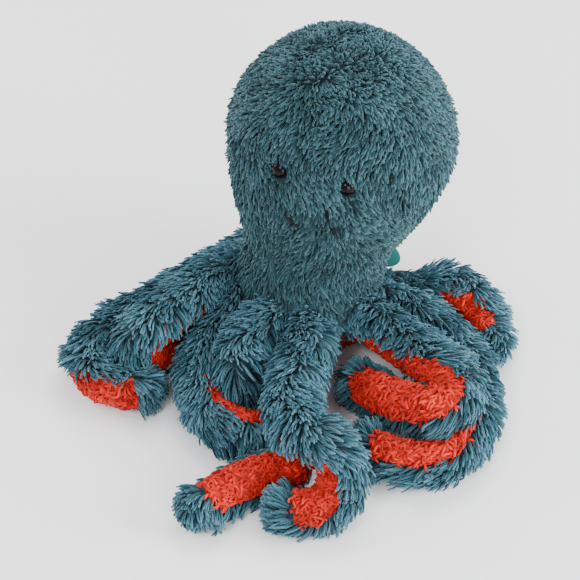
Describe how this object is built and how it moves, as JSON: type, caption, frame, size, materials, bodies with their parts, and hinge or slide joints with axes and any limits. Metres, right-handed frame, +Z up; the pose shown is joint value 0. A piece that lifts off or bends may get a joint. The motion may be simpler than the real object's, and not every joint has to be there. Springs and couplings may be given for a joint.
{
  "type": "plush octopus",
  "caption": "Soft plush octopus toy: pear-shaped stuffed head and body on curled, jointed arms with long teal fur above and orange fleece below.",
  "frame": {"origin": "on the floor, under the middle of the toy's bounding box, arms as they lie in the picture", "axes": "+Z up; the face looks along -Y, turned a little towards -X; +X is to the right as one looks at the face"},
  "size_m": [0.3093, 0.3295, 0.2154],
  "materials": {
    "teal_fur": "long-pile plush in lock-like tufts, dull",
    "orange_fleece": "short curled sherpa fleece, dull",
    "stuffing_fibre": "loose polyester fibre",
    "eye_plastic": "polished",
    "washer_plastic": "moulded",
    "thread": "twisted thread",
    "tag_cloth": "woven satin, bare",
    "pouch_cloth": "plain weave"
  },
  "bodies": {
    "sack": {"back_left_arm_root_cover": "teal_fur", "back_left_arm_root_lining": "orange_fleece", "back_left_arm_root_stuffing": "stuffing_fibre", "base_panel": "orange_fleece", "bean_pouch": "pouch_cloth", "eye_left": "eye_plastic", "eye_right": "eye_plastic", "eye_washer_left": "washer_plastic", "eye_washer_right": "washer_plastic", "left_arm_root_cover": "teal_fur", "left_arm_root_lining": "orange_fleece", "left_arm_root_stuffing": "stuffing_fibre", "mouth_stitch": "thread", "right_arm_root_cover": "teal_fur", "right_arm_root_lining": "orange_fleece", "right_arm_root_stuffing": "stuffing_fibre", "sack_back_panel": "teal_fur", "sack_front_left_panel": "teal_fur", "sack_front_right_panel": "teal_fur", "sack_stuffing": "stuffing_fibre", "side_tag": "tag_cloth"},
    "front_arm_root": {"front_arm_root_cover": "teal_fur", "front_arm_root_lining": "orange_fleece", "front_arm_root_stuffing": "stuffing_fibre"},
    "front_arm_tip": {"front_arm_tip_cover": "teal_fur", "front_arm_tip_lining": "orange_fleece", "front_arm_tip_stuffing": "stuffing_fibre"},
    "front_left_arm": {"front_left_arm_cover": "teal_fur", "front_left_arm_lining": "orange_fleece", "front_left_arm_stuffing": "stuffing_fibre"},
    "rear_left_arm": {"rear_left_arm_cover": "teal_fur", "rear_left_arm_lining": "orange_fleece", "rear_left_arm_stuffing": "stuffing_fibre"},
    "left_arm_tip": {"left_arm_tip_cover": "teal_fur", "left_arm_tip_lining": "orange_fleece", "left_arm_tip_stuffing": "stuffing_fibre"},
    "right_arm_tip": {"right_arm_tip_cover": "teal_fur", "right_arm_tip_lining": "orange_fleece", "right_arm_tip_stuffing": "stuffing_fibre"},
    "back_left_arm_tip": {"back_left_arm_tip_cover": "teal_fur", "back_left_arm_tip_lining": "orange_fleece", "back_left_arm_tip_stuffing": "stuffing_fibre"},
    "front_right_arm_root": {"front_right_arm_root_cover": "teal_fur", "front_right_arm_root_lining": "orange_fleece", "front_right_arm_root_stuffing": "stuffing_fibre"},
    "front_right_arm_tip": {"front_right_arm_tip_cover": "teal_fur", "front_right_arm_tip_lining": "orange_fleece", "front_right_arm_tip_stuffing": "stuffing_fibre"},
    "back_right_arm_root": {"back_right_arm_root_cover": "teal_fur", "back_right_arm_root_lining": "orange_fleece", "back_right_arm_root_stuffing": "stuffing_fibre"},
    "back_right_arm_tip": {"back_right_arm_tip_cover": "teal_fur", "back_right_arm_tip_lining": "orange_fleece", "back_right_arm_tip_stuffing": "stuffing_fibre"}
  },
  "joints": [
    {"name": "front_arm_lift", "type": "hinge", "parent": "sack", "child": "front_arm_root", "pos_m": [0.01643, -0.00085, 0.04775], "axis": [-0.9955, 0.0948, 0], "range_deg": [0, 40]},
    {"name": "front_arm_bend", "type": "hinge", "parent": "front_arm_root", "child": "front_arm_tip", "pos_m": [0.00227, -0.08833, 0.05573], "axis": [-0.9981, 0.0618, 0], "range_deg": [0, 30]},
    {"name": "front_left_arm_lift", "type": "hinge", "parent": "sack", "child": "front_left_arm", "pos_m": [-0.00885, 0.00912, 0.04864], "axis": [-0.8427, 0.5384, 0], "range_deg": [0, 35]},
    {"name": "rear_left_arm_lift", "type": "hinge", "parent": "sack", "child": "rear_left_arm", "pos_m": [-0.02525, 0.06887, 0.04301], "axis": [-0.0043, 1, 0], "range_deg": [0, 35]},
    {"name": "left_arm_bend", "type": "hinge", "parent": "sack", "child": "left_arm_tip", "pos_m": [-0.04659, -0.09167, 0.0138], "axis": [-0.0097, 0.007, -0.9999], "range_deg": [0, 30]},
    {"name": "right_arm_bend", "type": "hinge", "parent": "sack", "child": "right_arm_tip", "pos_m": [0.13795, -0.07892, 0.0138], "axis": [0, 0.0001, 1], "range_deg": [0, 30]},
    {"name": "back_left_arm_bend", "type": "hinge", "parent": "sack", "child": "back_left_arm_tip", "pos_m": [-0.06379, 0.07118, 0.0272], "axis": [-0.6602, 0.7511, 0], "range_deg": [0, 25]},
    {"name": "front_right_arm_lift", "type": "hinge", "parent": "sack", "child": "front_right_arm_root", "pos_m": [0.05297, 0.01135, 0.04659], "axis": [-0.7547, -0.6561, 0], "range_deg": [0, 35]},
    {"name": "front_right_arm_bend", "type": "hinge", "parent": "front_right_arm_root", "child": "front_right_arm_tip", "pos_m": [0.10832, -0.08398, 0.05306], "axis": [-0.661, 0.7504, 0], "range_deg": [0, 30]},
    {"name": "back_right_arm_lift", "type": "hinge", "parent": "sack", "child": "back_right_arm_root", "pos_m": [0.069, 0.05925, 0.02762], "axis": [-0.0301, -0.9995, 0], "range_deg": [0, 35]},
    {"name": "back_right_arm_bend", "type": "hinge", "parent": "back_right_arm_root", "child": "back_right_arm_tip", "pos_m": [0.14424, 0.04924, 0.01982], "axis": [0.0466, -0.072, 0.9963], "range_deg": [0, 35]}
  ]
}
